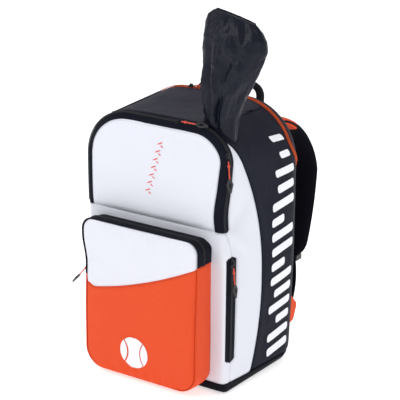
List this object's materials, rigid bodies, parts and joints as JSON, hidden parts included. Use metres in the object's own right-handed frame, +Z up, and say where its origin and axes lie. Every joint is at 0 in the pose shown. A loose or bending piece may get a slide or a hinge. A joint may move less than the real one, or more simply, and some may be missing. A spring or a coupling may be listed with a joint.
{
  "type": "racket backpack",
  "caption": "Racket sports backpack with a front racket compartment, a hood for the handles, a zipped lower pocket, padded straps and a clamshell back.",
  "frame": {"origin": "on the ground under the middle of the flat base", "axes": "+Z up, the front (racket flap and lower pocket) faces -Y, the straps are on +Y, +X to the right as seen from the front"},
  "size_m": [0.3633, 0.3691, 0.6849],
  "materials": {
    "white_fabric": "matte coated polyester, faint lilac white",
    "orange_fabric": "matte coated polyester",
    "black_fabric": "matte blue-black polyester",
    "charcoal_fabric": "soft satin polyester",
    "base_fabric": "coarse coated weave",
    "black_zip_tape": "herringbone tape with a coil",
    "orange_zip_tape": "woven tape with a coil",
    "hood_nylon": "thin crinkled nylon with a sheen",
    "black_webbing": "ribbed woven webbing",
    "pad_mesh": "spacer mesh over foam",
    "lining": "thin plain lining",
    "stiffener": "polyethylene sheet",
    "slider_metal": "black painted zinc",
    "pull_cord": "braided cord",
    "pull_grip": "moulded soft plastic",
    "adjuster_plastic": "moulded acetal"
  },
  "bodies": {
    "bag": {"base_panel": "base_fabric", "front_panel": "white_fabric", "flap_zip_fixed": "black_zip_tape", "main_zip_front": "orange_zip_tape", "top_panel": "charcoal_fabric", "racket_divider": "lining", "left_side_panel": "white_fabric", "right_side_panel": "white_fabric", "left_side_band": "black_fabric", "right_side_band": "black_fabric", "left_side_zip": "black_zip_tape", "right_side_zip": "black_zip_tape", "left_pocket_lining": "lining", "right_pocket_lining": "lining", "pocket_front_lower": "orange_fabric", "pocket_front_upper": "white_fabric", "pocket_gusset": "orange_fabric", "pocket_zip_fixed": "black_zip_tape"},
    "front_flap": {"flap_panel": "white_fabric", "flap_zip_border": "black_zip_tape"},
    "pocket_flap": {"pocket_flap_panel": "white_fabric", "pocket_flap_zip": "black_zip_tape"},
    "back_panel": {"main_zip_rear": "orange_zip_tape", "back_gusset": "black_fabric", "back_face": "black_fabric", "back_board": "stiffener", "left_back_pad": "pad_mesh", "right_back_pad": "pad_mesh", "lumbar_pad": "pad_mesh", "left_strap_patch": "orange_fabric", "right_strap_patch": "orange_fabric", "left_strap_tab": "orange_fabric", "right_strap_tab": "orange_fabric"},
    "grab_handle": {"grab_handle": "black_webbing"},
    "left_strap": {"left_strap_pad": "pad_mesh", "left_strap_webbing": "black_webbing", "left_strap_adjuster": "adjuster_plastic"},
    "right_strap": {"right_strap_pad": "pad_mesh", "right_strap_webbing": "black_webbing", "right_strap_adjuster": "adjuster_plastic"},
    "hood": {"hood": "hood_nylon"},
    "main_slider": {"main_slider": "slider_metal"},
    "main_pull": {"main_pull_cord": "pull_cord", "main_pull_grip": "pull_grip"},
    "flap_top_slider": {"flap_top_slider": "slider_metal"},
    "flap_top_pull": {"flap_top_pull_cord": "pull_cord", "flap_top_pull_grip": "pull_grip"},
    "flap_side_slider": {"flap_side_slider": "slider_metal"},
    "flap_side_pull": {"flap_side_pull_cord": "pull_cord", "flap_side_pull_grip": "pull_grip"},
    "pocket_slider": {"pocket_slider": "slider_metal"},
    "pocket_pull": {"pocket_pull_cord": "pull_cord", "pocket_pull_grip": "pull_grip"},
    "right_side_slider": {"right_side_slider": "slider_metal"},
    "right_side_pull": {"right_side_pull_cord": "pull_cord", "right_side_pull_grip": "pull_grip"},
    "left_side_slider": {"left_side_slider": "slider_metal"},
    "left_side_pull": {"left_side_pull_cord": "pull_cord", "left_side_pull_grip": "pull_grip"}
  },
  "joints": [
    {"name": "back_open", "type": "hinge", "parent": "bag", "child": "back_panel", "pos_m": [0, 0.095, 0.03], "axis": [-1, 0, 0], "range_deg": [0, 35]},
    {"name": "handle_fold", "type": "hinge", "parent": "back_panel", "child": "grab_handle", "pos_m": [0, 0.097, 0.468], "axis": [-1, 0, 0], "range_deg": [0, 40]},
    {"name": "flap_open", "type": "hinge", "parent": "bag", "child": "front_flap", "pos_m": [0, -0.12, 0.302], "axis": [1, 0, 0], "range_deg": [0, 95]},
    {"name": "pocket_open", "type": "hinge", "parent": "bag", "child": "pocket_flap", "pos_m": [0, -0.167, 0.242], "axis": [1, 0, 0], "range_deg": [0, 50]},
    {"name": "hood_tilt", "type": "hinge", "parent": "bag", "child": "hood", "pos_m": [0.147, -0.082, 0.452], "axis": [0, 1, 0], "range_deg": [0, 70]},
    {"name": "left_strap_swing", "type": "hinge", "parent": "back_panel", "child": "left_strap", "pos_m": [-0.079, 0.104, 0.4465], "axis": [0.1437, -0.0455, 0.9886], "range_deg": [-12, 12]},
    {"name": "right_strap_swing", "type": "hinge", "parent": "back_panel", "child": "right_strap", "pos_m": [0.079, 0.104, 0.4465], "axis": [-0.1437, -0.0455, 0.9886], "range_deg": [-12, 12]},
    {"name": "main_slide", "type": "slide", "parent": "back_panel", "child": "main_slider", "axis": [1, 0, 0], "range_m": [0, 0.09]},
    {"name": "main_pull_swing", "type": "hinge", "parent": "main_slider", "child": "main_pull", "pos_m": [-0.045, 0.062, 0.4984], "axis": [0, -1, 0], "range_deg": [0, 120]},
    {"name": "flap_top_slide", "type": "slide", "parent": "front_flap", "child": "flap_top_slider", "axis": [-1, 0, 0], "range_m": [0, 0.08]},
    {"name": "flap_top_pull_swing", "type": "hinge", "parent": "flap_top_slider", "child": "flap_top_pull", "pos_m": [0.051, -0.11641, 0.48568], "axis": [0, -0.8366, -0.5478], "range_deg": [0, 120]},
    {"name": "flap_side_slide", "type": "slide", "parent": "front_flap", "child": "flap_side_slider", "axis": [0, 0, -1], "range_m": [0, 0.09]},
    {"name": "flap_side_pull_swing", "type": "hinge", "parent": "flap_side_slider", "child": "flap_side_pull", "pos_m": [0.14838, -0.11681, 0.433], "axis": [-0.6392, -0.769, 0], "range_deg": [-15, 105]},
    {"name": "pocket_slide", "type": "slide", "parent": "bag", "child": "pocket_slider", "axis": [0, 0, 1], "range_m": [0, 0.06]},
    {"name": "pocket_pull_swing", "type": "hinge", "parent": "pocket_slider", "child": "pocket_pull", "pos_m": [-0.1294, -0.148, 0.195], "axis": [0, 1, 0], "range_deg": [-42, 78]},
    {"name": "right_side_slide", "type": "slide", "parent": "bag", "child": "right_side_slider", "axis": [-0.0025, 0, -1], "range_m": [0, 0.16]},
    {"name": "right_side_pull_swing", "type": "hinge", "parent": "right_side_slider", "child": "right_side_pull", "pos_m": [0.15417, -0.10448, 0.239], "axis": [-0.1093, -0.994, 0], "range_deg": [-6, 114]},
    {"name": "left_side_slide", "type": "slide", "parent": "bag", "child": "left_side_slider", "axis": [0.0025, 0, -1], "range_m": [0, 0.16]},
    {"name": "left_side_pull_swing", "type": "hinge", "parent": "left_side_slider", "child": "left_side_pull", "pos_m": [-0.15417, -0.10448, 0.239], "axis": [-0.1093, 0.994, 0], "range_deg": [-6, 114]}
  ]
}
